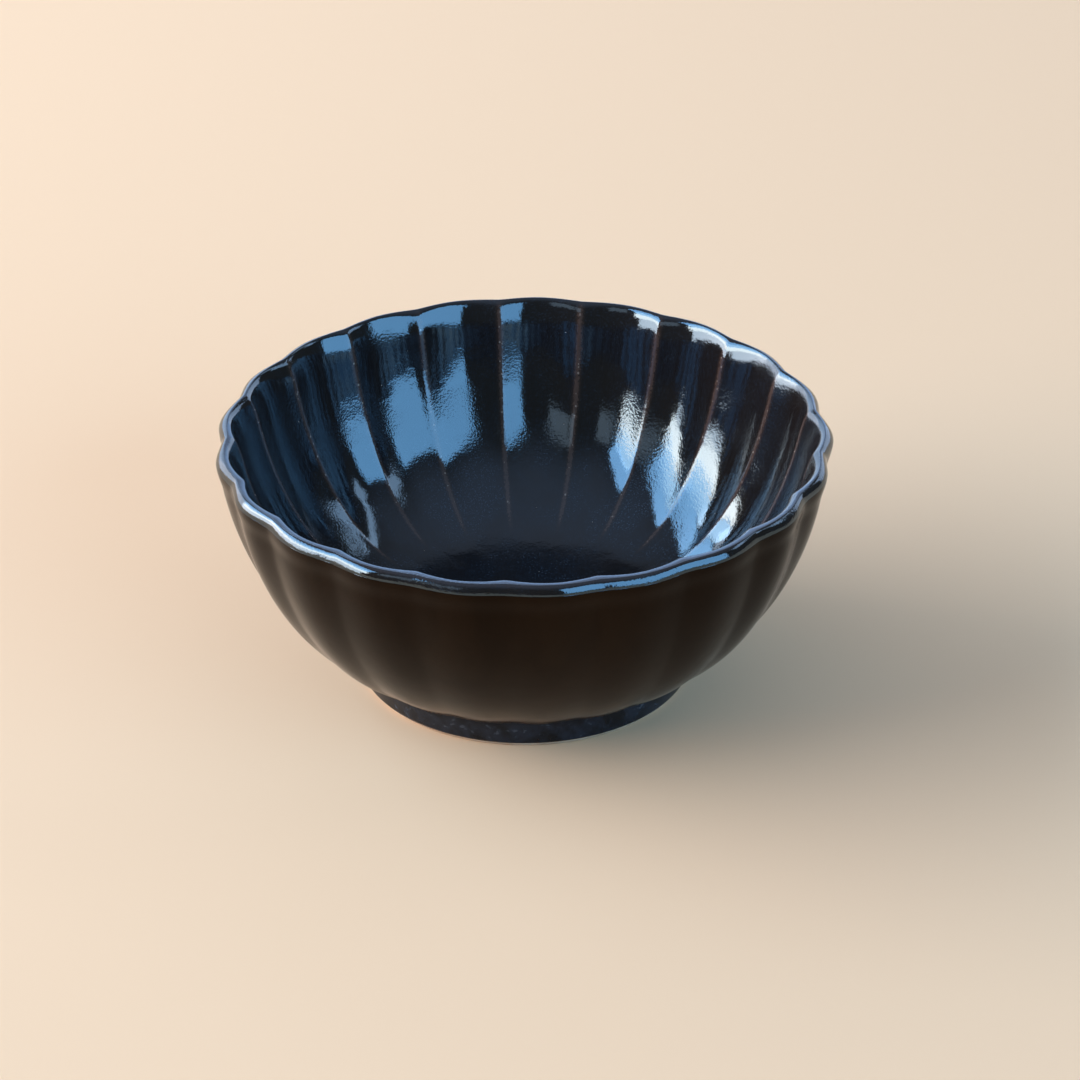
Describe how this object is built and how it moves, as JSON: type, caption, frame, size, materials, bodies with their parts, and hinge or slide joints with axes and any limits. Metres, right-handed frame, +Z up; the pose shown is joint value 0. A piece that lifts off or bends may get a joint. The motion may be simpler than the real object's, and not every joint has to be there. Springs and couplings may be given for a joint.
{
  "type": "soy sauce dish",
  "caption": "Small deep round dish with a fluted wall, sharp inner ribs, scalloped rounded lip and a foot ring, in black-brown iron glaze.",
  "frame": {"origin": "centre of the foot ring on the table plane", "axes": "+Z up along the bowl's axis; +Y through the middle of one outer lobe, so the X axis mirrors the flutes"},
  "size_m": [0.0898, 0.0895, 0.0384],
  "materials": {
    "clay": "bare fired stoneware, matt and slightly gritty",
    "inner_glaze": "glossy blue-black iron glaze, breaking rusty brown on ribs and lip",
    "outer_glaze": "satin to glossy black-brown iron glaze, golden brown low down",
    "foot_glaze": "mottled blue-black glaze on the foot and under the base"
  },
  "bodies": {
    "root": {"bowl_body": "clay", "foot_ring": "clay", "inner_glaze": "inner_glaze", "outer_glaze": "outer_glaze", "foot_glaze": "foot_glaze", "base_glaze": "foot_glaze"}
  },
  "joints": []
}
